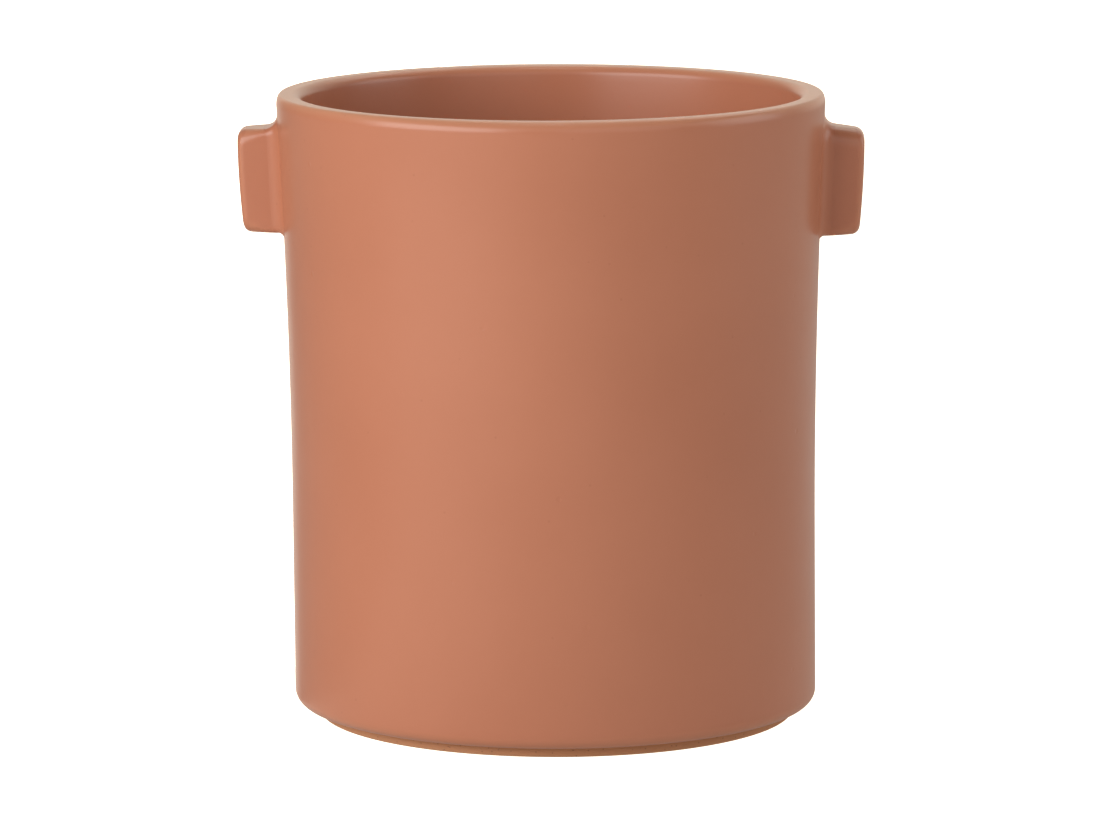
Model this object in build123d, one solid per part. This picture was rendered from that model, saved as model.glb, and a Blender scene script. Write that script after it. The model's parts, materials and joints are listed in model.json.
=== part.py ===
from build123d import *
import math
import os

# A stoneware cachepot: a cast pot with a flared mouth, a low foot ring and two solid lugs held on by slip.
# Millimetres. The pot stands on Z = 0 with its axis on +Z, and the lugs lie on the X axis.

# Pot: wall and floor, one casting
pot_height = 160.0
rim_diameter = 140.0
mouth_flare = 2.9  # how far the rim stands out past the waist
waist_height = 50.0  # the wall is upright up to here
wall_thickness = 6.5
floor_thickness = 7.0
rim_outer_round = 3.0
rim_inner_round = 2.0
heel_round = 3.2
floor_corner_round = 8.0

# Foot ring: a low ring luted under the floor
foot_height = 2.9
foot_width = 8.0
foot_inset = 5.9  # from the wall in to the ring
foot_edge_round = 0.8

# Lugs: solid moulded blocks, one on each side
lug_projection = 10.1  # past the rim
lug_height = 27.2  # at the wall
lug_thickness = 15.0
lug_drop = 8.7  # from the rim down to the top of a lug
lug_draft = 2.5  # degrees that the top and the bottom close in, away from the wall
lug_lean = 1.7  # how far the outer face leans in, from top to bottom
lug_end_round = 4.0  # upright edges of the outer face
lug_top_round = 2.4
lug_bottom_round = 1.5
lug_sector = 60.0  # degrees of the wall that a lug and its slip lie within

# Slip: liquid clay between a lug and the wall, wiped to a fillet round the lug's root
slip_layer = 0.4
slip_fillet = 2.5
slip_clearance = 0.08  # between the slip and the wall

rim_radius = rim_diameter / 2
waist_radius = rim_radius - mouth_flare
inner_floor_height = foot_height + floor_thickness


def turn(outline, arc=360):
    """The solid that an outline of radius and height sweeps about Z, in an arc centred on +X."""
    return Rot(Z=-arc / 2) * revolve(Plane.XZ * outline, Axis.Z, arc)


def wall_face(inset, foot):
    """One face of the wall: upright from its foot to the waist, then a tangent arc out to the rim."""
    straight = Line((waist_radius - inset, foot), (waist_radius - inset, waist_height))
    flare = TangentArc(straight @ 1, (rim_radius - inset, pot_height), tangent=straight % 1)
    return straight, flare


def pot():
    """The casting: outer wall, flat rim, inner wall and floor in one outline, its four corners rounded."""
    outer_straight, outer_flare = wall_face(0, foot_height)
    inner_straight, inner_flare = wall_face(wall_thickness, inner_floor_height)
    outline = make_face(
        [
            Line((0, foot_height), outer_straight @ 0),
            outer_straight,
            outer_flare,
            Line(outer_flare @ 1, inner_flare @ 1),
            inner_flare,
            inner_straight,
            Line(inner_straight @ 0, (0, inner_floor_height)),
            Line((0, inner_floor_height), (0, foot_height)),
        ]
    )
    corners = (
        (outer_straight @ 0, heel_round),
        (outer_flare @ 1, rim_outer_round),
        (inner_flare @ 1, rim_inner_round),
        (inner_straight @ 0, floor_corner_round),
    )
    for place, radius in corners:
        outline = fillet(outline.vertices().sort_by_distance(place)[0], radius)
    return turn(outline)


def foot_ring():
    """A flat ring under the floor, with the two edges that it stands on rounded."""
    middle = waist_radius - foot_inset - foot_width / 2
    outline = Pos(middle, foot_height / 2) * Rectangle(foot_width, foot_height)
    return turn(fillet(outline.vertices().group_by(Axis.Y)[0], foot_edge_round))


def filled_wall(growth):
    """The pot's outer shape beside a lug, filled to the axis and grown outwards: lugs are cut to it."""
    straight, flare = wall_face(-growth, foot_height)
    outline = make_face(
        [
            Line((0, foot_height), straight @ 0),
            straight,
            flare,
            Line(flare @ 1, (0, pot_height)),
            Line((0, pot_height), (0, foot_height)),
        ]
    )
    return turn(outline, lug_sector)


def lug_block():
    """The lug on +X before it is cut to the wall: a leaning side outline, thickened and rounded."""
    top = pot_height - lug_drop
    bottom = top - lug_height
    end = rim_radius + lug_projection
    root = waist_radius - wall_thickness
    slope = math.tan(math.radians(lug_draft))
    root_rise = (rim_radius - root) * slope
    end_fall = lug_projection * slope
    side = make_face(
        Polyline(
            (root, bottom - root_rise),
            (end - lug_lean, bottom + end_fall),
            (end, top - end_fall),
            (root, top + root_rise),
            close=True,
        )
    )
    block = extrude(Plane.XZ * side, lug_thickness / 2, both=True)
    end_edges = block.faces().sort_by(Axis.X)[-1].edges()
    block = fillet(end_edges - end_edges.filter_by(Axis.Y), lug_end_round)
    for level, radius in ((-1, lug_top_round), (0, lug_bottom_round)):
        root_edges = block.faces().sort_by(Axis.X)[0].edges()
        block = fillet(block.faces().sort_by(Axis.Z)[level].edges() - root_edges, radius)
    return block


def lug_and_slip():
    """The lug on +X, and its slip: the layer behind it and what a fillet round the lug's root adds."""
    block = lug_block()
    core = filled_wall(0)
    lug = block - filled_wall(slip_layer)
    joined = core + block
    filleted = fillet(new_edges(core, block, combined=joined), slip_fillet)
    slip = filleted - filled_wall(slip_clearance) - lug
    return lug, slip


lug, slip = lug_and_slip()
half_turn = Rot(Z=180)
pieces = {
    "pot_body": pot(),
    "foot_ring": foot_ring(),
    "right_lug": lug,
    "right_lug_slip": slip,
    "left_lug": half_turn * lug,
    "left_lug_slip": half_turn * slip,
}

os.makedirs("parts", exist_ok=True)
for name, piece in pieces.items():
    export_step(piece, f"parts/{name}.step")
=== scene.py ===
"""A stoneware cachepot as numpy surfaces: glazed pot, two lugs with their slip, and bare foot ring."""

import json
import math

import bpy
import numpy as np
from mathutils import Matrix, Vector


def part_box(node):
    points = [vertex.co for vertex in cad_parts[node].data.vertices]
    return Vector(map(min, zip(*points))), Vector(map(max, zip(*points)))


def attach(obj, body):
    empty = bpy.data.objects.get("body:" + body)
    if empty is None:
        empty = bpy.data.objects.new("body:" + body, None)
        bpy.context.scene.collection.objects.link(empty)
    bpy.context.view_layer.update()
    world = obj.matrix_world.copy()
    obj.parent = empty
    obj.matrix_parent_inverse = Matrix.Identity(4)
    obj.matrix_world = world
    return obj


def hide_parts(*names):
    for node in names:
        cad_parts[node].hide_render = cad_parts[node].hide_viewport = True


bl_info = {
    "name": "Stoneware Cachepot",
    "version": (1, 0, 0),
    "blender": (4, 5, 0),
    "location": "View3D > Sidebar > Cachepot",
    "description": "Builds a glazed stoneware cachepot with two lugs around its CAD frame",
    "category": "Add Mesh",
}

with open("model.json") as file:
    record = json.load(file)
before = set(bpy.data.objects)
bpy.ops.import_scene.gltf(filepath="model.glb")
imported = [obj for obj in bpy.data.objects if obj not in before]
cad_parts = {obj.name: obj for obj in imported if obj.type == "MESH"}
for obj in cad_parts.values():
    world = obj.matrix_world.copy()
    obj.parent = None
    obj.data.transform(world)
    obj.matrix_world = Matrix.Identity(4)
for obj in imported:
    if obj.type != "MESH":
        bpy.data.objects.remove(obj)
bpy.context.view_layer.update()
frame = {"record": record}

# What the frame gives: the CAD box, the places of its nodes and the floor that a plant pot stands on
POT_LOW, POT_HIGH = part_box("pot_body")
_, FOOT_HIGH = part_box("foot_ring")
LUG_LOW, LUG_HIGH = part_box("right_lug")
MOUNTS = {mount["name"]: mount["pos_m"] for mount in frame["record"]["mounts"]}

MM = 0.001
QUARTER = 0.5 * math.pi
FULL_TURN = 2 * math.pi
GLAZE_NAME = "Terracotta glaze, sprayed and fired satin-matt"
CLAY_NAME = "Bare stoneware clay, sponged and fired"
SWEEP_NAME = "Pale studio sweep, painted matt"
# The layer also holds painted top light: it is near 1 across the rim's top and the lugs' tops, to make them
# paler
GLAZE_BREAK_AND_LIGHT_LAYER = "glaze_break"  # 1 where the glaze runs thin on an edge, -1 where it pools in a hollow

# How finely the surfaces are cut
TURN_STEPS = 288
WALL_ROWS = 80
ARC_ROWS = 12
FLAT_ROWS = 10
CORNER_STEPS = 12
SIDE_STEPS = 28
LUG_ROWS = 16
AROUND = np.linspace(0, FULL_TURN, TURN_STEPS, endpoint=False)  # the angles of a turned piece's columns

# How the surfaces bend
SEAM_ANGLE = math.radians(60)  # a fold sharper than this isn't shaded smooth
LEAN_POWER = 1.5  # how late the outer face of a lug begins to lean in
SOFTNESS = 2.4  # power of the superellipse that rounds a lug's edges: at 2 it is a circle
FRONT_POWER = 6  # how narrow the front of the rim is that has the soft edge
OVAL_START = 0.7  # how the oval lies that the rim is drawn to, in radians
WALL_WAVES = ((3, -4.0, 0.7), (5, 9.0, 0.5))  # count round the wall, radians of twist, and share

# The sizes in which the two lugs differ
LUG_SIZES = ("fall", "rise", "top_lift", "lift", "top_round", "top_fillet", "flare")

# How far the glaze is thinned on each edge, and how far it pools in the slip's hollow. On the rim's flat and
# the lugs' tops the paler colour is painted top light; on the rim's rounded edges it is thin glaze and
# painted top light.
HEEL_THIN = 0.2
# The rim's top: thin glaze on its rounded edges, and painted top light across all of it
RIM_THIN_AND_TOP_LIGHT = 0.9
LUG_EDGE_THIN = 0.3
# The lugs' tops: painted top light, paler wherever the lug faces up
LUG_TOP_PAINTED_LIGHT = 0.6
LUG_END_THIN = 0.12
SLIP_POOLED = 0.1

# Widths and spacings of the patterns, in millimetres
CLOUD_WIDTH = 55
MOTTLE_WIDTH = 4
SPECK_SPACING = 7
DRY_WIDTH = 14
PEEL_WIDTH = 1.6
PINHOLE_SPACING = 15
RUB_WIDTH = 9
GRIT_SPACING = 1.4
TOOTH_WIDTH = 0.7  # the clay's own tooth is too fine to show, so it is drawn this coarse
SWEEP_GRAIN = 40

# Depths of the relief, in millimetres
PEEL_DEPTH = 0.012
PINHOLE_DEPTH = 0.05
TOOTH_DEPTH = 0.08

# Noise values between which a pattern comes in, and distances from a dot's middle, as shares of the spacing
CLOUD_SPAN = (0.35, 0.65)
DRY_SPAN = (0.3, 0.7)
SPECK_EDGE = (0.06, 0.03)
PINHOLE_EDGE = (0.02, 0.055)
GRIT_EDGE = (0.2, 0.1)

# How strongly each layer of colour shows
MOTTLE_SHARE = 0.15
THIN_AND_TOP_LIGHT_SHARE = 0.7
POOLED_SHARE = 0.8
SPECK_SHARE = 0.2
GRIT_SHARE = 0.5

# Surfaces
STONEWARE_IOR = 1.5
GLAZE_SPECULAR = 0.4
CLAY_ROUGHNESS = (0.75, 0.95)
RUB_HEIGHTS = (0.7 * MM, 0.1 * MM)  # from where down the sole is rubbed, and where it is rubbed most
SWEEP_ROUGHNESS = (0.85, 0.95)
SWEEP_SPECULAR = 0.1

# Lamps: azimuth and elevation in degrees, then distance, width and height in metres
SOFTBOXES = {
    "key": (-49, 23, 1.4, 1.4, 0.9),
    "fill": (28, 24, 1.4, 1.3, 1.1),
    "side": (90, 20, 1.4, 0.9, 0.9),
    "back": (160, 53, 1.5, 1.2, 0.8),
}
OVERHEAD_PLACE = (0, 90, 1.4, 0.06, 0.06)

# Where the table's glow changes, as bearings from the pot's left wall: 0 degrees in front, 90 at the right
TABLE_BEARINGS = (
    (-160, "table_behind"),
    (-152, "table_left"),
    (-68, "table_left"),
    (-52, "table_front"),
    (-10, "table_front"),
    (30, "table_right"),
)
TABLE_LIMIT = 0.01  # height in metres above which the sweep is backdrop and not table
BACKDROP_FADE = 0.1  # half the height in metres over which the backdrop's glow changes
SENSOR_WIDTH = 36.0  # millimetres

# Sockets of the Mix node when it mixes colours, and when it mixes numbers
MIX_A, MIX_B, MIX_RESULT = 6, 7, 2
NUMBER_A, NUMBER_B = 2, 3


def linear(hex_colour):
    """An sRGB hex colour such as #C08060 as linear red, green and blue."""
    channels = np.array([int(hex_colour[i : i + 2], 16) for i in (1, 3, 5)]) / 255
    low = channels / 12.92
    high = ((channels + 0.055) / 1.055) ** 2.4
    return tuple(float(c) for c in np.where(channels <= 0.04045, low, high))


def length(name, description, metres):
    """A property for a length."""
    return bpy.props.FloatProperty(
        name=name, description=description, default=metres, unit="LENGTH", subtype="DISTANCE", precision=5
    )


def angle(name, description, degrees):
    """A property for an angle."""
    return bpy.props.FloatProperty(
        name=name, description=description, default=math.radians(degrees), unit="ROTATION", subtype="ANGLE"
    )


def share(name, description, value):
    """A property for a share from 0 to 1."""
    return bpy.props.FloatProperty(
        name=name, description=description, default=value, min=0.0, max=1.0, subtype="FACTOR"
    )


def power(name, description, watts):
    """A property for a lamp's power."""
    return bpy.props.FloatProperty(
        name=name, description=description, default=watts, min=0.0, unit="POWER", precision=3
    )


def glow(name, description, strength):
    """A property for how strongly a stage surface is lit through from behind."""
    return bpy.props.FloatProperty(name=name, description=description, default=strength, min=0.0, max=4.0)


def colour(name, description, hex_colour):
    """A property for a colour."""
    return bpy.props.FloatVectorProperty(
        name=name,
        description=description,
        default=linear(hex_colour),
        size=3,
        min=0.0,
        max=1.0,
        subtype="COLOR",
    )


class CachepotBody(bpy.types.PropertyGroup):
    """Sizes of the cast pot and its foot ring."""

    height: length("Height", "From the table to the rim", POT_HIGH.z)
    foot_height: length("Foot height", "From the table to the pot's underside", POT_LOW.z)
    rim_radius: length("Rim radius", "Where the line of the outer wall meets the rim", 70 * MM)
    mouth_flare: length("Mouth flare", "How far the rim stands out past the waist", 2.9 * MM)
    waist_height: length("Waist height", "The wall is upright up to here", 50 * MM)
    wall: length("Wall", "Thickness of the wall", 6.5 * MM)
    floor_top: length("Floor", "Height of the inside floor", MOUNTS["pot_seat"][2])
    rim_outer_drop: length("Outer rim drop", "How far down the rim's outer edge is rounded", 3.0 * MM)
    rim_outer_round: length("Outer rim rounding", "How far in it is rounded at the sides and back", 1.3 * MM)
    rim_front_round: length("Front rim rounding", "How far in it is rounded in front", 3.0 * MM)
    rim_inner_round: length("Inner rim rounding", "Radius of the rim's inner edge", 2.4 * MM)
    heel_round: length("Heel rounding", "Radius where the wall turns under", 3.2 * MM)
    floor_round: length("Floor rounding", "Radius where the inside wall meets the floor", 8.0 * MM)
    foot_outer: length("Foot radius", "Outer radius of the foot ring", FOOT_HIGH.x)
    foot_width: length("Foot width", "Width of the foot ring", 8.0 * MM)
    foot_round: length("Foot rounding", "Radius of the foot ring's edges", 0.8 * MM)
    foot_shift: length("Foot shift", "How far off centre the foot ring was luted on", 0.2 * MM)
    lean: angle("Kiln lean", "How far the wall leans to the left after firing", 0.42)
    rim_tilt: angle("Rim tilt", "How far the rim is higher on the right after firing", 0.17)
    rim_nod: angle("Rim nod", "How far the rim is lower in front after firing", 0.09)
    ripple: length("Ripple", "Height of the slow waves that casting leaves in the wall", 0.05 * MM)


class CachepotLugs(bpy.types.PropertyGroup):
    """Sizes of the two lugs and of the slip round their roots."""

    reach: length("Reach", "From the pot's axis to the lug's outer face", LUG_HIGH.x)
    top: length("Top", "Height of the lug's top at the wall", LUG_HIGH.z)
    bottom: length("Bottom", "Height of the lug's bottom at the wall", LUG_LOW.z)
    half_width: length("Half width", "Half the lug's thickness at the wall", LUG_HIGH.y)
    taper: length("Taper", "How much of the half width is lost at the outer face", 0.7 * MM)
    left_fall: length("Left fall", "How far the left lug's top falls outwards", 0.35 * MM)
    right_fall: length("Right fall", "How far the right lug's top falls outwards", 1.35 * MM)
    left_rise: length("Left rise", "How far the left lug's bottom rises outwards", 0.05 * MM)
    right_rise: length("Right rise", "How far the right lug's bottom rises outwards", 0.2 * MM)
    left_top_lift: length("Left top lift", "How far the left top lies above the CAD model's", 0.0)
    right_top_lift: length("Right top lift", "How far the right top lies above the CAD model's", 0.6 * MM)
    left_lift: length("Left lift", "How far the left bottom lies above the CAD model's", 0.4 * MM)
    right_lift: length("Right lift", "How far the right bottom lies above the CAD model's", -0.35 * MM)
    left_top_round: length("Left top rounding", "Size of the rounding along the left lug's top", 1.7 * MM)
    right_top_round: length("Right top rounding", "Size of the rounding along the right lug's top", 4.5 * MM)
    lean: length("Lean", "How far the outer face leans in from top to bottom", 1.4 * MM)
    crown: length("Crown", "How far the middle of the outer face stands out", 0.2 * MM)
    end_round: length("End rounding", "Size of the rounding of the upright outer edges", 1.8 * MM)
    bottom_round: length("Bottom rounding", "Size of the rounding along the lug's bottom edges", 1.8 * MM)
    end_top_round: length("End's top rounding", "Size of the rounding above the outer face", 2.6 * MM)
    end_bottom_round: length("End's bottom rounding", "Size of the rounding below the outer face", 2.2 * MM)
    corner_round: length("Corner rounding", "Size of the rounding of the outer face's corners", 5.2 * MM)
    slip_layer: length("Slip layer", "Slip between the lug and the wall", 0.4 * MM)
    left_flare: length("Left flare", "Slip's fillet down the sides of the left lug", 3.1 * MM)
    right_flare: length("Right flare", "Slip's fillet down the sides of the right lug", 3.0 * MM)
    left_top_fillet: length("Left top fillet", "Slip's fillet along the left lug's top", 3.6 * MM)
    right_top_fillet: length("Right top fillet", "Slip's fillet along the right lug's top", 2.8 * MM)
    bottom_fillet: length("Bottom fillet", "Slip's fillet along the lug's bottom", 1.2 * MM)


class CachepotFinish(bpy.types.PropertyGroup):
    """Colours and gloss of the glaze and of the bare clay."""

    glaze: colour("Glaze", "The glaze where it lies evenly", "#B47256")
    glaze_pale: colour("Pale glaze", "The lighter clouds of the glaze", "#B77559")
    # Also laid on the rim's top and the lugs' tops as painted top light
    glaze_thin_and_top_light: colour("Thin glaze", "The glaze where it runs thin on an edge", "#D39A78")
    glaze_pooled: colour("Pooled glaze", "The glaze where it gathers in a hollow", "#AE6849")
    speck: colour("Iron specks", "Specks of iron that fire dark in the glaze", "#94573F")
    clay: colour("Clay", "The bare fired clay of the foot", "#C48B65")
    clay_pale: colour("Pale clay", "Clay that the kiln shelf and handling have rubbed", "#CFA27F")
    clay_grit: colour("Grit", "Dark grit in the clay", "#7E5139")
    gloss_low: share("Silky roughness", "Roughness of the glaze where it is smoothest", 0.285)
    gloss_high: share("Matt roughness", "Roughness of the glaze where it is driest", 0.315)


class CachepotStage(bpy.types.PropertyGroup):
    """Camera, lamps, table and backdrop."""

    distance: length("Camera distance", "From the aim to the camera", 1.6)
    azimuth: angle("Camera azimuth", "How far the camera stands to the right", 1.0)
    elevation: angle("Camera elevation", "How far the camera looks down", 9.02)
    aim_height: length("Aim height", "Height that the camera looks at", 77.44 * MM)
    aim_shift: length("Aim shift", "How far to the left of the axis the camera looks", 0.8 * MM)
    lens: bpy.props.FloatProperty(
        name="Lens", description="Focal length in millimetres", default=204.0, unit="CAMERA"
    )
    floor_colour: colour("Floor colour", "The pale table and backdrop", "#B3B2B1")
    sweep_back: length("Sweep back", "From the pot to the upright back of the sweep", 2.6)
    sweep_bend: length("Sweep bend", "Radius of the bend from the table to the back", 0.6)
    sweep_half: length("Sweep half width", "Half the width of the sweep, and its height", 5.0)
    glow_colour: colour("Glow colour", "The warm white light of the table and backdrop", "#FFF7E6")
    backdrop_low: glow("Backdrop", "Glow of the backdrop behind the pot, up to its bright height", 0.85)
    backdrop_high: glow("Backdrop above", "Glow of the backdrop higher up", 0.7)
    backdrop_bright: length("Bright height", "Up to where the backdrop glows most", 0.9)
    backdrop_shift: length("Backdrop shift", "How far right of the pot the backdrop's glow stands", 1.0)
    backdrop_half: length("Backdrop half width", "How far to each side the backdrop glows", 2.2)
    table_behind: glow("Table behind", "Glow of the table behind the pot, on its left", 0.95)
    # Painted shade: the table's glow is turned low at the left; no flag stands in the scene
    table_left: glow("Table at the left", "Glow of the table at the left, where a dark flag shades it", 0.05)
    table_front: glow("Table in front", "Glow of the table in front of the pot, on its left", 0.48)
    table_right: glow("Table at the right", "Glow of the table at the right", 0.25)
    white_out: glow("White-out", "What the camera sees of the table and backdrop besides their light", 1.2)
    key: power("Key", "Wide softbox at the front left", 20.5)
    fill: power("Fill", "Softbox at the front right", 4.3)
    side: power("Side", "Softbox at the right", 5.8)
    back: power("Back", "Softbox high behind", 3.5)
    overhead: power("Overhead", "Small lamp behind a grid that shines straight down into the pot", 0.010)
    grid_angle: angle("Grid angle", "Whole angle of the light that the overhead grid lets through", 5.0)


def wall_radius(height, body):
    """The outer wall's radius at a height: upright from the foot to the waist, and above the waist a
    parabola that leaves the upright without a kink and reaches the rim's radius at the rim."""
    climb = (height - body.waist_height) / (body.height - body.waist_height)
    return body.rim_radius - body.mouth_flare * (1 - np.clip(climb, 0, None) ** 2)


def fired(points, body):
    """Points after firing: the pot leans a little about its middle height, and its rim rises towards the
    right and the back in step with the height. An oval that grows as the square of the height, and long
    shallow waves that are cosines of the angle and the height, push the wall in and out along the
    radius."""
    x, y, z = np.moveaxis(points, -1, 0)
    around = np.arctan2(y, x)
    up = z / body.height
    waves = np.cos(2 * around + OVAL_START) * up**2
    for count, twist, part in WALL_WAVES:
        waves = waves + part * np.cos(count * around + twist * up)
    swell = 1 + body.ripple * waves / body.rim_radius
    leaning = math.tan(body.lean) * (0.5 * body.height - z)
    rising = (math.tan(body.rim_tilt) * x + math.tan(body.rim_nod) * y) * up
    return np.stack([x * swell + leaning, y * swell, z + rising], axis=-1)


def mesh_piece(name, rings, material, glaze_break_and_light=None, looped=False):
    """A closed mesh over rows of rings: each ring joins on to itself, and the first and last ring close
    on a point in their middle, or on each other where the rows are looped. Rows run so that faces point
    outwards."""
    rows, columns = rings.shape[:2]
    points = rings.reshape(-1, 3)
    row, column = np.meshgrid(np.arange(rows if looped else rows - 1), np.arange(columns), indexing="ij")
    after, beside = (row + 1) % rows, (column + 1) % columns
    corners = ((row, column), (row, beside), (after, beside), (after, column))
    quads = np.stack([ring * columns + place for ring, place in corners], -1)
    faces = [quads.reshape(-1, 4)]
    if not looped:
        first, last = len(points), len(points) + 1
        points = np.vstack([points, rings[0].mean(0), rings[-1].mean(0)])
        here = np.arange(columns)
        there = (here + 1) % columns
        end = (rows - 1) * columns
        faces.append(np.stack([np.full(columns, first), there, here], -1))
        faces.append(np.stack([np.full(columns, last), end + here, end + there], -1))
    mesh = bpy.data.meshes.new(name)
    mesh.from_pydata(points.tolist(), [], [face for block in faces for face in block.tolist()])
    mesh.set_sharp_from_angle(angle=SEAM_ANGLE)
    layer = mesh.attributes.new(GLAZE_BREAK_AND_LIGHT_LAYER, "FLOAT", "POINT")
    values = np.zeros(len(points))
    if glaze_break_and_light is not None:
        values[: rows * columns] = np.broadcast_to(glaze_break_and_light, (rows, columns)).ravel()
        values[rows * columns :] = values[rows * columns - 1]
    layer.data.foreach_set("value", values.astype(np.float32))
    mesh.materials.append(material)
    mesh.validate()
    piece = bpy.data.objects.new(name, mesh)
    bpy.context.scene.collection.objects.link(piece)
    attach(piece, "root")
    return piece


def turned(radius, height):
    """Rings of a profile turned about Z: at each angle, x and y are the radius times its cosine and
    sine."""
    x = radius[:, None] * np.cos(AROUND)
    y = radius[:, None] * np.sin(AROUND)
    return np.stack([x, y, np.broadcast_to(height[:, None], x.shape)], axis=-1)


def pot_profile(body, outer):
    """The pot's closed profile, from the middle of the underside to the middle of the inside floor: each
    point is a height and an inset from the line of the outer wall, with the heel, the rim's inner edge and
    the floor's corner as quarter circles. The rim's outer edge is a quarter ellipse, and how far in it goes
    is given apart. Comes with how far the glaze is thinned at each point; across the rim's top this paler
    colour is also painted top light."""
    bow = np.linspace(0, QUARTER, ARC_ROWS)
    out, up = 1 - np.cos(bow), 1 - np.sin(bow)
    climb = np.linspace(0, 1, WALL_ROWS)[1:-1]
    flat = np.linspace(0, 1, FLAT_ROWS)[1:-1]
    heel, corner = body.heel_round, body.floor_round
    drop, inner = body.rim_outer_drop, body.rim_inner_round
    low, high, floor = body.foot_height, body.height, body.floor_top
    stretches = (
        (low + heel * out, heel * up, HEEL_THIN * np.sin(2 * bow)),
        (low + heel + (high - drop - low - heel) * climb, 0 * climb, 0 * climb),
        # The rim's edges and flat: paler as thin glaze on the edges, and as painted top light across the
        # whole top
        (high - drop * up, outer * out, RIM_THIN_AND_TOP_LIGHT * np.sin(bow) ** 2),
        (high + 0 * flat, outer + (body.wall - outer - inner) * flat, RIM_THIN_AND_TOP_LIGHT + 0 * flat),
        (high - inner * up[::-1], body.wall - inner * out[::-1], RIM_THIN_AND_TOP_LIGHT * np.cos(bow) ** 2),
        (high - inner - (high - inner - floor - corner) * climb, body.wall + 0 * climb, 0 * climb),
        (floor + corner * up, body.wall + corner * out, -np.sin(2 * bow)),
    )
    height, inset, glaze_break_and_light = (np.concatenate(parts) for parts in zip(*stretches))
    radius = wall_radius(height, body) - inset
    radius = np.concatenate([radius[0] * flat, radius, radius[-1] * flat[::-1]])
    height = np.concatenate([low + 0 * flat, height, floor + 0 * flat])
    glaze_break_and_light = np.concatenate([0 * flat, glaze_break_and_light, 0 * flat])
    return radius, height, glaze_break_and_light


def pot_rings(body):
    """The turned pot, blended from two profiles: in front the rim's outer edge goes in far and is soft,
    and elsewhere it is crisp. The share of the soft one is a power of a sine wave round the pot, from 0
    to 1."""
    *crisp, glaze_break_and_light = pot_profile(body, body.rim_outer_round)
    *soft, _ = pot_profile(body, body.rim_front_round)
    crisp, soft = turned(*crisp), turned(*soft)
    in_front = (0.5 - 0.5 * np.sin(AROUND)) ** FRONT_POWER
    return crisp + (soft - crisp) * in_front[None, :, None], glaze_break_and_light[:, None]


def foot_profile(body):
    """The foot ring's closed profile, anticlockwise from the foot of its inner side: a sole whose two
    edges are quarter circles, an upright outer side, and a flat top that leads back to the inner side."""
    bow = np.linspace(0, QUARTER, ARC_ROWS)
    across = np.linspace(0, 1, FLAT_ROWS)[1:-1]
    outer, inner = body.foot_outer, body.foot_outer - body.foot_width
    edge, top = body.foot_round, body.foot_height
    stretches = (
        (inner + edge * (1 - np.cos(bow)), edge * (1 - np.sin(bow))),
        (inner + edge + (body.foot_width - 2 * edge) * across, 0 * across),
        (outer - edge * (1 - np.sin(bow)), edge * (1 - np.cos(bow))),
        (outer - body.foot_width * np.linspace(0, 1, FLAT_ROWS), top + np.zeros(FLAT_ROWS)),
    )
    radius, height = (np.concatenate(parts) for parts in zip(*stretches))
    return radius, height


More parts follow.
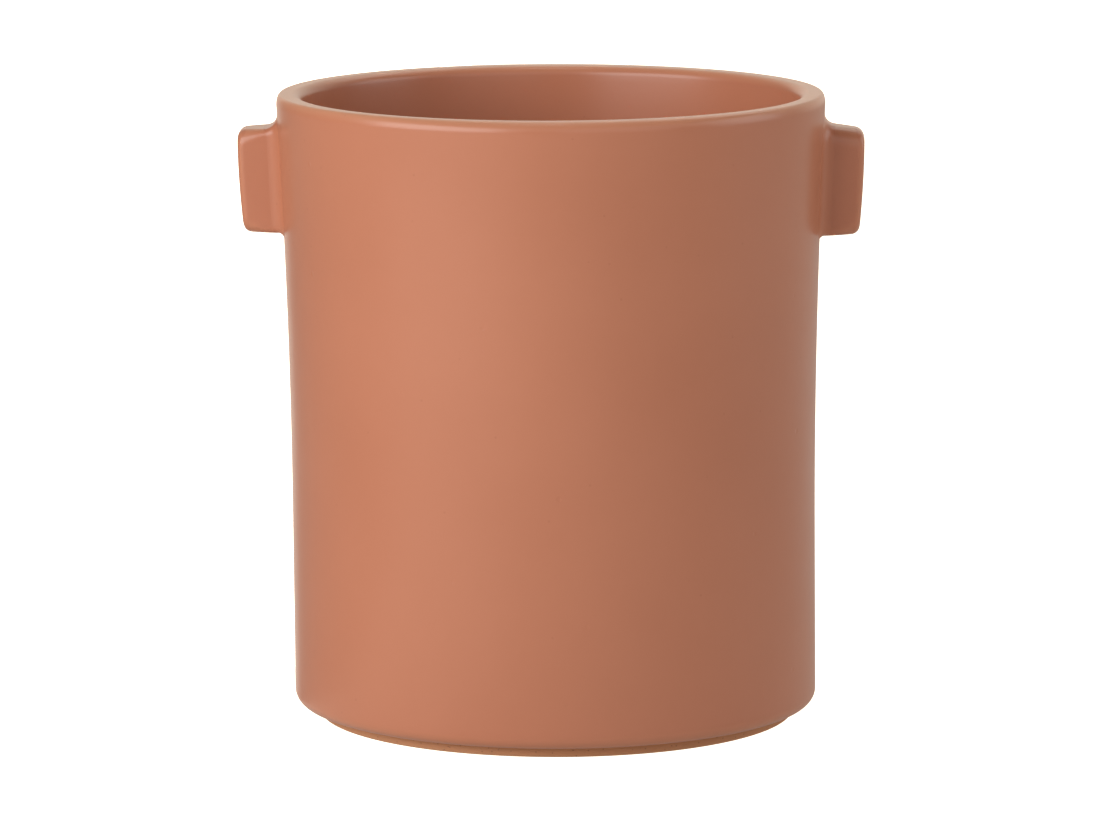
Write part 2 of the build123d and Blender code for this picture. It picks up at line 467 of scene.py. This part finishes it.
class LugSection:
    """The lug's cross-section as columns round a rounded rectangle, and the sizes that change along the
    lug."""

    def __init__(self, body, lugs, side):
        own = {size: getattr(lugs, f"{side}_{size}") for size in LUG_SIZES}
        turn = np.linspace(0, QUARTER, CORNER_STEPS + 1)
        along = np.linspace(0, 1, SIDE_STEPS + 1)[1:-1]
        walk = np.concatenate([0 * turn, along])
        corner = np.repeat(np.arange(4), walk.size)
        following = (corner + 1) % 4
        self.body, self.lugs, self.own = body, lugs, own
        self.walk = np.tile(walk, 4)
        # Y and Z as complex numbers: a corner's point about its centre, and its normal, turned by quarters
        quarters = np.exp(1j * QUARTER * corner)
        upwards = np.full(along.size, 1j)
        point = np.cos(turn) ** (2 / SOFTNESS) + 1j * np.sin(turn) ** (2 / SOFTNESS)
        facing = np.cos(turn) ** (2 - 2 / SOFTNESS) + 1j * np.sin(turn) ** (2 - 2 / SOFTNESS)
        self.point = np.tile(np.concatenate([point, upwards]), 4) * quarters
        normal = np.tile(np.concatenate([facing / np.abs(facing), upwards]), 4) * quarters
        ny, nz = normal.real, normal.imag
        self.normal = ny, nz
        # Which side, which height and which way up each column lies, from corner to corner
        self.side = self.between(np.array([1, -1, -1, 1]), corner, following)
        self.upper = self.between(np.array([1, 1, 0, 0]), corner, following)
        self.above = self.between(np.array([1, 1, -1, -1]), corner, following)
        radii = np.array([own["top_round"], own["top_round"], lugs.bottom_round, lugs.bottom_round])
        self.radius = self.between(radii, corner, following)
        fillet = np.where(nz > 0, own["top_fillet"], lugs.bottom_fillet)
        end_round = np.where(nz > 0, lugs.end_top_round, lugs.end_bottom_round)
        self.bead = own["flare"] * ny**2 + fillet * nz**2
        self.end_round = lugs.end_round * ny**2 + end_round * nz**2
        self.edge = np.abs(2 * ny * nz)

    def between(self, values, corner, following):
        """Values at the four corners, shared out along the straight sides between them."""
        return (1 - self.walk) * values[corner] + self.walk * values[following]

    def outline(self, outward):
        """Y and Z of the section's columns where the share outward of the lug's length is reached: each
        corner is a quarter of a superellipse about its centre, which grows towards the end, and the
        centres slide along the straight sides."""
        lugs, own = self.lugs, self.own
        half = lugs.half_width - lugs.taper * outward
        top = lugs.top + own["top_lift"] - own["fall"] * outward
        bottom = lugs.bottom + own["lift"] + own["rise"] * outward
        radius = self.radius + (lugs.corner_round - self.radius) * outward**2
        y = self.side * (half - radius) + radius * self.point.real
        z = bottom + (top - bottom) * self.upper - self.above * radius + radius * self.point.imag
        return y, z

    def wall_x(self, y, z):
        """X of the pot's outer wall: Pythagoras on the wall's radius at that height."""
        return np.sqrt(wall_radius(z, self.body) ** 2 - y**2)

    def end_x(self, y, z):
        """X of the outer face: upright at the top, leaning in further and further towards the bottom, as
        a power of the way down, and a little crowned in its middle."""
        lugs = self.lugs
        down = np.clip((lugs.top - z) / (lugs.top - lugs.bottom), 0, 1)
        bulge = 1 - (y / lugs.half_width) ** 2 - (2 * down - 1) ** 2
        return lugs.reach - lugs.crown - lugs.lean * down**LEAN_POWER + lugs.crown * np.clip(bulge, 0, 1)

    def full_length(self):
        """How far the lug stands out from the wall at its top, on the middle line."""
        return self.lugs.reach - self.wall_x(0, self.lugs.top)


def filled(y, z, steps):
    """Rings from just off the middle of an outline out to it."""
    spread = np.linspace(0, 1, steps + 1)[1:, None]
    middle_y, middle_z = y.mean(), z.mean()
    return middle_y + (y - middle_y) * spread, middle_z + (z - middle_z) * spread


def lug_rings(section):
    """The lug on +X, ring by ring: its seat on the slip, its sides from the slip's fillet to the end, the
    end's edges as quarters of a superellipse whose size changes round the lug, and the outer face."""
    lugs, (ny, nz) = section.lugs, section.normal
    whole = section.full_length()
    start = section.bead / whole
    seat_y, seat_z = filled(*section.outline(0 * start), FLAT_ROWS)
    seat_x = section.wall_x(seat_y, seat_z) + lugs.slip_layer

    onward = np.linspace(0, 1, LUG_ROWS)[:, None]
    stop = 1 - section.end_round / whole
    side_y, side_z = section.outline(start + (stop - start) * onward)
    root_x = section.wall_x(side_y, side_z) + section.bead
    side_x = root_x + (section.end_x(side_y, side_z) - section.end_round - root_x) * onward

    bow = np.linspace(0, QUARTER, ARC_ROWS)[1:, None]
    forward, inward = np.sin(bow) ** (2 / SOFTNESS), 1 - np.cos(bow) ** (2 / SOFTNESS)
    y, z = section.outline(stop + (1 - stop) * forward)
    end_y, end_z = y - section.end_round * inward * ny, z - section.end_round * inward * nz
    end_x = section.end_x(end_y, end_z) - section.end_round * (1 - forward)

    face_y, face_z = filled(end_y[-1], end_z[-1], FLAT_ROWS)
    face_y, face_z = face_y[-2::-1], face_z[-2::-1]
    face_x = section.end_x(face_y, face_z)
    x = np.concatenate([seat_x, side_x, end_x, face_x])
    y = np.concatenate([seat_y, side_y, end_y, face_y])
    z = np.concatenate([seat_z, side_z, end_z, face_z])
    # Paler as thin glaze on the lug's edges, and paler as painted top light wherever it faces up
    side_thin_and_top_light = np.maximum(LUG_EDGE_THIN * section.edge * onward, LUG_TOP_PAINTED_LIGHT * np.clip(nz, 0, 1) ** 2)
    end_thin = LUG_END_THIN * np.sin(2 * bow) + 0 * end_x
    thinned_and_top_lit = np.concatenate([0 * seat_x, side_thin_and_top_light, end_thin, 0 * face_x])
    return np.stack([x, y, z], axis=-1), thinned_and_top_lit


def slip_rings(section):
    """The slip on +X: a layer against the wall under the lug, and round it a fillet that runs as a
    quarter circle from the wall to the lug's side. The radius is the side's where the normal lies along
    Y, and the top's or the bottom's where it lies along Z."""
    lugs, (ny, nz) = section.lugs, section.normal
    whole = section.full_length()
    bow = np.linspace(0, QUARTER, ARC_ROWS)[:, None]
    stand = section.bead * (1 - np.cos(bow))
    y, z = section.outline(stand / whole)
    bead_y = y + section.bead * (1 - np.sin(bow)) * ny
    bead_z = z + section.bead * (1 - np.sin(bow)) * nz
    bead_x = section.wall_x(bead_y, bead_z) + stand

    under_y, under_z = (rings[:-1] for rings in filled(bead_y[0], bead_z[0], FLAT_ROWS))
    under_x = section.wall_x(under_y, under_z)
    inner_y, inner_z = (rings[::-1] for rings in filled(*section.outline(0 * section.bead), FLAT_ROWS))
    inner_x = section.wall_x(inner_y, inner_z) + lugs.slip_layer
    x = np.concatenate([under_x, bead_x, inner_x])
    y = np.concatenate([under_y, bead_y, inner_y])
    z = np.concatenate([under_z, bead_z, inner_z])
    pooled = np.concatenate([0 * under_x, -SLIP_POOLED * np.sin(2 * bow) + 0 * bead_x, 0 * inner_x])
    return np.stack([x, y, z], axis=-1), pooled


def half_turn(rings):
    """The same rings turned half round Z, for the left side."""
    return rings * np.array([-1, -1, 1])


def add(tree, kind, settings=None, inputs=None):
    """A new node of a kind, with its own settings, and each input set to a value or joined to an
    output."""
    node = tree.nodes.new("ShaderNode" + kind)
    for name, value in (settings or {}).items():
        setattr(node, name, value)
    for name, value in (inputs or {}).items():
        if isinstance(value, bpy.types.NodeSocket):
            tree.links.new(value, node.inputs[name])
        else:
            node.inputs[name].default_value = value
    return node


def new_material(name):
    """A material with an empty node tree."""
    material = bpy.data.materials.new(name)
    material.use_nodes = True
    material.node_tree.nodes.clear()
    return material, material.node_tree


def per_metre(millimetres):
    """The texture scale whose features are that many millimetres wide."""
    return 1 / (millimetres * MM)


def span(ends):
    """The input range of a Map Range node that runs from the first end to the second."""
    low, high = ends
    return {"From Min": low, "From Max": high}


def reach_to(ends):
    """The output range of a Map Range node that runs from the first end to the second."""
    low, high = ends
    return {"To Min": low, "To Max": high}


def satin_glaze(finish):
    """Terracotta glaze, sprayed on and fired satin-matt: a silky sheen that turns pale at a glancing angle,
    soft clouds where the spray lay thicker, a few iron specks and healed pinholes, and thinner, paler glaze
    on edges. The same paler colour is laid over the rim's top and the lugs' tops as painted top light."""
    material, tree = new_material(GLAZE_NAME)
    blend = {"data_type": "RGBA"}
    smooth = {"interpolation_type": "SMOOTHSTEP"}
    even, pale = (*finish.glaze, 1), (*finish.glaze_pale, 1)
    thin_and_top_lit, deep = (*finish.glaze_thin_and_top_light, 1), (*finish.glaze_pooled, 1)
    iron = (*finish.speck, 1)
    place = add(tree, "TexCoord").outputs["Object"]

    # Clouds and a fine mottle
    cloud = add(tree, "TexNoise", inputs={"Vector": place, "Scale": per_metre(CLOUD_WIDTH), "Detail": 2.0})
    cloud = add(tree, "MapRange", inputs={"Value": cloud.outputs["Fac"], **span(CLOUD_SPAN)})
    mottle = add(tree, "TexNoise", inputs={"Vector": place, "Scale": per_metre(MOTTLE_WIDTH), "Detail": 3.0})
    either_way = reach_to((-MOTTLE_SHARE, MOTTLE_SHARE))
    mottle = add(tree, "MapRange", inputs={"Value": mottle.outputs["Fac"], **either_way})
    sum_up = {"operation": "ADD", "use_clamp": True}
    tone = add(tree, "Math", sum_up, {0: cloud.outputs[0], 1: mottle.outputs[0]})
    coat = add(tree, "Mix", blend, {0: tone.outputs[0], MIX_A: even, MIX_B: pale}).outputs[MIX_RESULT]

    # Thin on edges, painted top light on the rim's top and the lugs' tops, and pooled in hollows
    lie = add(tree, "Attribute", {"attribute_name": GLAZE_BREAK_AND_LIGHT_LAYER}).outputs["Fac"]
    thin = add(tree, "MapRange", inputs={"Value": lie, **reach_to((0.0, THIN_AND_TOP_LIGHT_SHARE))})
    depth = {**span((0.0, -1.0)), **reach_to((0.0, POOLED_SHARE))}
    pooled = add(tree, "MapRange", inputs={"Value": lie, **depth})
    coat = add(tree, "Mix", blend, {0: thin.outputs[0], MIX_A: coat, MIX_B: thin_and_top_lit}).outputs[MIX_RESULT]
    coat = add(tree, "Mix", blend, {0: pooled.outputs[0], MIX_A: coat, MIX_B: deep}).outputs[MIX_RESULT]

    # Iron specks
    specks = add(tree, "TexVoronoi", inputs={"Vector": place, "Scale": per_metre(SPECK_SPACING)})
    dots = {"Value": specks.outputs["Distance"], **span(SPECK_EDGE), **reach_to((0.0, SPECK_SHARE))}
    dot = add(tree, "MapRange", smooth, dots)
    coat = add(tree, "Mix", blend, {0: dot.outputs[0], MIX_A: coat, MIX_B: iron}).outputs[MIX_RESULT]

    # Drier and silkier patches
    dry = add(tree, "TexNoise", inputs={"Vector": place, "Scale": per_metre(DRY_WIDTH), "Detail": 3.0})
    sheen = {**span(DRY_SPAN), **reach_to((finish.gloss_low, finish.gloss_high))}
    rough = add(tree, "MapRange", inputs={"Value": dry.outputs["Fac"], **sheen})

    # Orange peel of the spray, and healed pinholes
    peel = add(tree, "TexNoise", inputs={"Vector": place, "Scale": per_metre(PEEL_WIDTH), "Detail": 2.0})
    relief = {"Height": peel.outputs["Fac"], "Strength": 1.0, "Distance": PEEL_DEPTH * MM}
    skin = add(tree, "Bump", inputs=relief)
    holes = add(tree, "TexVoronoi", inputs={"Vector": place, "Scale": per_metre(PINHOLE_SPACING)})
    pit = add(tree, "MapRange", smooth, {"Value": holes.outputs["Distance"], **span(PINHOLE_EDGE)})
    relief = {"Height": pit.outputs[0], "Strength": 1.0, "Distance": PINHOLE_DEPTH * MM}
    pitted = add(tree, "Bump", inputs={**relief, "Normal": skin.outputs[0]})
    shader = add(
        tree,
        "BsdfPrincipled",
        inputs={
            "Base Color": coat,
            "Roughness": rough.outputs[0],
            "IOR": STONEWARE_IOR,
            "Specular IOR Level": GLAZE_SPECULAR,
            "Normal": pitted.outputs[0],
        },
    )
    add(tree, "OutputMaterial", inputs={"Surface": shader.outputs[0]})
    return material


def bare_clay(finish):
    """Bare stoneware, sponged and fired: dry and tan, with fine dark grit and a sole rubbed paler by the
    shelf."""
    material, tree = new_material(CLAY_NAME)
    blend = {"data_type": "RGBA"}
    smooth = {"interpolation_type": "SMOOTHSTEP"}
    tan, pale, dark = (*finish.clay, 1), (*finish.clay_pale, 1), (*finish.clay_grit, 1)
    place = add(tree, "TexCoord").outputs["Object"]

    # Rubbed in patches, most at the sole
    height = add(tree, "SeparateXYZ", inputs={0: place}).outputs["Z"]
    wear = add(tree, "TexNoise", inputs={"Vector": place, "Scale": per_metre(RUB_WIDTH), "Detail": 3.0})
    rubbed = add(tree, "MapRange", inputs={"Value": height, **span(RUB_HEIGHTS)})
    rubbed = add(tree, "Math", {"operation": "MULTIPLY"}, {0: rubbed.outputs[0], 1: wear.outputs["Fac"]})
    ground = add(tree, "Mix", blend, {0: rubbed.outputs[0], MIX_A: tan, MIX_B: pale}).outputs[MIX_RESULT]

    # Grit
    grains = add(tree, "TexVoronoi", inputs={"Vector": place, "Scale": per_metre(GRIT_SPACING)})
    dots = {"Value": grains.outputs["Distance"], **span(GRIT_EDGE), **reach_to((0.0, GRIT_SHARE))}
    grit = add(tree, "MapRange", smooth, dots)
    ground = add(tree, "Mix", blend, {0: grit.outputs[0], MIX_A: ground, MIX_B: dark}).outputs[MIX_RESULT]

    # The tooth that sponging leaves
    tooth = add(tree, "TexNoise", inputs={"Vector": place, "Scale": per_metre(TOOTH_WIDTH), "Detail": 4.0})
    rough = add(tree, "MapRange", inputs={"Value": tooth.outputs["Fac"], **reach_to(CLAY_ROUGHNESS)})
    relief = {"Height": tooth.outputs["Fac"], "Strength": 1.0, "Distance": TOOTH_DEPTH * MM}
    skin = add(tree, "Bump", inputs=relief)
    shader = add(
        tree,
        "BsdfPrincipled",
        inputs={
            "Base Color": ground,
            "Roughness": rough.outputs[0],
            "IOR": STONEWARE_IOR,
            "Normal": skin.outputs[0],
        },
    )
    add(tree, "OutputMaterial", inputs={"Surface": shader.outputs[0]})
    return material


def glaze_of(context):
    """The glaze, made by the first piece that asks for it."""
    return bpy.data.materials.get(GLAZE_NAME) or satin_glaze(context.scene.cachepot_finish)


class CACHEPOT_OT_pot(bpy.types.Operator):
    """Build the cast pot: wall, rim and floor in one glazed shell"""

    bl_idname = "cachepot.pot"
    bl_label = "Pot"

    def execute(self, context):
        body = context.scene.cachepot_body
        rings, glaze_break_and_light = pot_rings(body)
        pot = mesh_piece("glazed_pot", fired(rings, body), glaze_of(context), glaze_break_and_light)
        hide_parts("pot_body")
        return {"FINISHED"}


class CACHEPOT_OT_foot(bpy.types.Operator):
    """Build the bare foot ring under the pot"""

    bl_idname = "cachepot.foot"
    bl_label = "Foot ring"

    def execute(self, context):
        body = context.scene.cachepot_body
        rings = fired(turned(*foot_profile(body)), body) + np.array([body.foot_shift, 0, 0])
        clay = bare_clay(context.scene.cachepot_finish)
        foot = mesh_piece("bare_foot_ring", rings, clay, looped=True)
        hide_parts("foot_ring")
        return {"FINISHED"}


class CACHEPOT_OT_lugs(bpy.types.Operator):
    """Build the two lugs"""

    bl_idname = "cachepot.lugs"
    bl_label = "Lugs"

    def execute(self, context):
        body, lugs = context.scene.cachepot_body, context.scene.cachepot_lugs
        right, right_break_and_top_light = lug_rings(LugSection(body, lugs, "right"))
        left, left_break_and_top_light = lug_rings(LugSection(body, lugs, "left"))
        glaze = glaze_of(context)
        piece = mesh_piece("glazed_lug_right", fired(right, body), glaze, right_break_and_top_light)
        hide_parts("right_lug")
        piece = mesh_piece("glazed_lug_left", fired(half_turn(left), body), glaze, left_break_and_top_light)
        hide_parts("left_lug")
        return {"FINISHED"}


class CACHEPOT_OT_slip(bpy.types.Operator):
    """Build the slip that lutes each lug to the wall"""

    bl_idname = "cachepot.slip"
    bl_label = "Slip round the lugs"

    def execute(self, context):
        body, lugs = context.scene.cachepot_body, context.scene.cachepot_lugs
        right, right_pool = slip_rings(LugSection(body, lugs, "right"))
        left, left_pool = slip_rings(LugSection(body, lugs, "left"))
        glaze = glaze_of(context)
        piece = mesh_piece("glazed_slip_right", fired(right, body), glaze, right_pool)
        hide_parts("right_lug_slip")
        piece = mesh_piece("glazed_slip_left", fired(half_turn(left), body), glaze, left_pool)
        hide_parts("left_lug_slip")
        return {"FINISHED"}


def direction(azimuth, elevation):
    """The unit vector towards a lamp or camera: azimuth 0 is in front, on -Y, and 90 degrees is on +X."""
    flat = math.cos(elevation)
    return Vector((math.sin(azimuth) * flat, -math.cos(azimuth) * flat, math.sin(elevation)))


def facing_from(towards):
    """The turn of a lamp or camera that stands in a direction and faces back along it."""
    return towards.to_track_quat("Z", "Y").to_matrix().to_4x4()


def softbox(name, azimuth, elevation, distance, width, height, watts):
    """A rectangular lamp that faces the middle of the pot from an azimuth and elevation in degrees."""
    towards = direction(math.radians(azimuth), math.radians(elevation))
    lamp = bpy.data.lights.new(name, "AREA")
    lamp.shape = "RECTANGLE"
    lamp.size, lamp.size_y = width, height
    lamp.energy = watts
    holder = bpy.data.objects.new(name, lamp)
    bpy.context.scene.collection.objects.link(holder)
    middle = Vector((0, 0, 0.5 * POT_HIGH.z))
    holder.matrix_world = Matrix.Translation(middle + towards * distance) @ facing_from(towards)
    return holder


def table_glow(tree, axes, stage):
    """How strongly the table glows, by the bearing from the pot's left wall: bright behind it on the
    left, dark at the left, bright again in front and even at the right."""
    forwards = add(tree, "Math", {"operation": "MULTIPLY"}, {0: axes.outputs["Y"], 1: -1.0})
    sideways = add(tree, "Math", {"operation": "SUBTRACT"}, {0: axes.outputs["X"], 1: POT_LOW.x})
    bearing = add(tree, "Math", {"operation": "ARCTAN2"}, {0: sideways.outputs[0], 1: forwards.outputs[0]})
    around = add(tree, "MapRange", inputs={"Value": bearing.outputs[0], **span((-math.pi, math.pi))})
    ramp = add(tree, "ValToRGB", inputs={"Fac": around.outputs[0]})
    stops = ramp.color_ramp.elements
    stops.remove(stops[-1])
    for degrees, name in TABLE_BEARINGS:
        strength = getattr(stage, name)
        stop = stops.new((degrees + 180) / 360)
        stop.color = (strength, strength, strength, 1)
    stops.remove(stops[0])
    return ramp.outputs["Color"]


def sweep_paint(stage):
    """Matt paint on a studio sweep. The table is lit through from below, and the back glows like a lit
    backdrop, most behind the pot. What the camera itself sees of them is burnt out to white, without
    lighting the pot any more."""
    material, tree = new_material(SWEEP_NAME)
    place = add(tree, "TexCoord").outputs["Object"]
    axes = add(tree, "SeparateXYZ", inputs={0: place})
    smooth = {"interpolation_type": "SMOOTHSTEP"}
    fade = span((stage.backdrop_bright - BACKDROP_FADE, stage.backdrop_bright + BACKDROP_FADE))
    shine = reach_to((stage.backdrop_low, stage.backdrop_high))
    upright = add(tree, "MapRange", smooth, {"Value": axes.outputs["Z"], **fade, **shine})
    off_table = add(tree, "Math", {"operation": "GREATER_THAN"}, {0: axes.outputs["Z"], 1: TABLE_LIMIT})
    aside = add(tree, "Math", {"operation": "SUBTRACT"}, {0: axes.outputs["X"], 1: stage.backdrop_shift})
    aside = add(tree, "Math", {"operation": "ABSOLUTE"}, {0: aside.outputs[0]})
    behind = add(tree, "Math", {"operation": "LESS_THAN"}, {0: aside.outputs[0], 1: stage.backdrop_half})
    shown = add(tree, "Math", {"operation": "MULTIPLY"}, {0: off_table.outputs[0], 1: behind.outputs[0]})
    glows = {0: shown.outputs[0], NUMBER_A: table_glow(tree, axes, stage), NUMBER_B: upright.outputs[0]}
    lit = add(tree, "Mix", {"data_type": "FLOAT"}, glows)
    seen = add(tree, "LightPath").outputs["Is Camera Ray"]
    lit = add(tree, "Math", {"operation": "MULTIPLY_ADD"}, {0: seen, 1: stage.white_out, 2: lit.outputs[0]})
    grain = add(tree, "TexNoise", inputs={"Vector": place, "Scale": per_metre(SWEEP_GRAIN), "Detail": 2.0})
    rough = add(tree, "MapRange", inputs={"Value": grain.outputs["Fac"], **reach_to(SWEEP_ROUGHNESS)})
    shader = add(
        tree,
        "BsdfPrincipled",
        inputs={
            "Base Color": (*stage.floor_colour, 1),
            "Roughness": rough.outputs[0],
            "Specular IOR Level": SWEEP_SPECULAR,
            "Emission Color": (*stage.glow_colour, 1),
            "Emission Strength": lit.outputs[0],
        },
    )
    add(tree, "OutputMaterial", inputs={"Surface": shader.outputs[0]})
    return material


def stage_sweep(stage):
    """A pale studio sweep: a flat table that bends up through a quarter circle into an upright back,
    drawn as one profile in Y and Z and carried along X."""
    bow = np.linspace(0, QUARTER, ARC_ROWS)
    bend, back, half = stage.sweep_bend, stage.sweep_back, stage.sweep_half
    along = np.concatenate([[-half], back - bend + bend * np.sin(bow), [back]])
    rise = np.concatenate([[0], bend * (1 - np.cos(bow)), [half]])
    rows = len(along)
    left = np.stack([np.full(rows, -half), along, rise], -1)
    right = np.stack([np.full(rows, half), along, rise], -1)
    near = np.arange(rows - 1)
    faces = np.stack([near, near + rows, near + rows + 1, near + 1], -1)
    mesh = bpy.data.meshes.new("studio_sweep")
    mesh.from_pydata(np.vstack([left, right]).tolist(), [], faces.tolist())
    mesh.polygons.foreach_set("use_smooth", np.ones(len(mesh.polygons), bool))
    mesh.materials.append(sweep_paint(stage))
    sweep = bpy.data.objects.new("studio_sweep", mesh)
    bpy.context.scene.collection.objects.link(sweep)


def white_surroundings():
    """A world that is white where the camera looks past the sweep, and that doesn't light the pot."""
    world = bpy.data.worlds.new("White surroundings")
    world.use_nodes = True
    tree = world.node_tree
    tree.nodes.clear()
    seen = add(tree, "LightPath").outputs["Is Camera Ray"]
    shader = add(tree, "Background", inputs={"Color": (1, 1, 1, 1), "Strength": seen})
    add(tree, "OutputWorld", inputs={"Surface": shader.outputs[0]})
    return world


class CACHEPOT_OT_stage(bpy.types.Operator):
    """Set the table, the backdrop, the lamps and the camera"""

    bl_idname = "cachepot.stage"
    bl_label = "Stage"

    def execute(self, context):
        scene, stage = context.scene, context.scene.cachepot_stage
        scene.view_settings.view_transform = "Standard"
        scene.world = white_surroundings()
        stage_sweep(stage)
        for lamp, place in SOFTBOXES.items():
            softbox(f"{lamp}_softbox", *place, getattr(stage, lamp))
        overhead = softbox("overhead_lamp", *OVERHEAD_PLACE, stage.overhead)
        overhead.data.spread = stage.grid_angle

        towards = direction(stage.azimuth, stage.elevation)
        aim = Vector((-stage.aim_shift, 0, stage.aim_height))
        camera = bpy.data.cameras.new("photo_camera")
        camera.lens, camera.sensor_width = stage.lens, SENSOR_WIDTH
        holder = bpy.data.objects.new("photo_camera", camera)
        scene.collection.objects.link(holder)
        holder.matrix_world = Matrix.Translation(aim + towards * stage.distance) @ facing_from(towards)
        scene.camera = holder
        return {"FINISHED"}


GROUPS = {
    "cachepot_body": CachepotBody,
    "cachepot_lugs": CachepotLugs,
    "cachepot_finish": CachepotFinish,
    "cachepot_stage": CachepotStage,
}
OPERATORS = (CACHEPOT_OT_pot, CACHEPOT_OT_foot, CACHEPOT_OT_lugs, CACHEPOT_OT_slip, CACHEPOT_OT_stage)


class CACHEPOT_PT_panel(bpy.types.Panel):
    """The cachepot's sizes, finishes and building steps"""

    bl_idname = "CACHEPOT_PT_panel"
    bl_label = "Cachepot"
    bl_space_type = "VIEW_3D"
    bl_region_type = "UI"
    bl_category = "Cachepot"

    def draw(self, context):
        for operator in OPERATORS:
            self.layout.operator(operator.bl_idname)
        for name, group in GROUPS.items():
            box = self.layout.box()
            for prop in group.__annotations__:
                box.prop(getattr(context.scene, name), prop)


def register():
    """Register the classes, and hang each group of properties on the scene."""
    for cls in (*GROUPS.values(), *OPERATORS, CACHEPOT_PT_panel):
        bpy.utils.register_class(cls)
    for name, group in GROUPS.items():
        setattr(bpy.types.Scene, name, bpy.props.PointerProperty(type=group))


def unregister():
    """Take the groups of properties off the scene, and the classes away."""
    for name in GROUPS:
        delattr(bpy.types.Scene, name)
    for cls in (CACHEPOT_PT_panel, *OPERATORS, *GROUPS.values()):
        bpy.utils.unregister_class(cls)


def main():
    register()
    bpy.ops.cachepot.pot()
    bpy.ops.cachepot.foot()
    bpy.ops.cachepot.lugs()
    bpy.ops.cachepot.slip()
    bpy.ops.cachepot.stage()


if __name__ == "__main__":
    main()
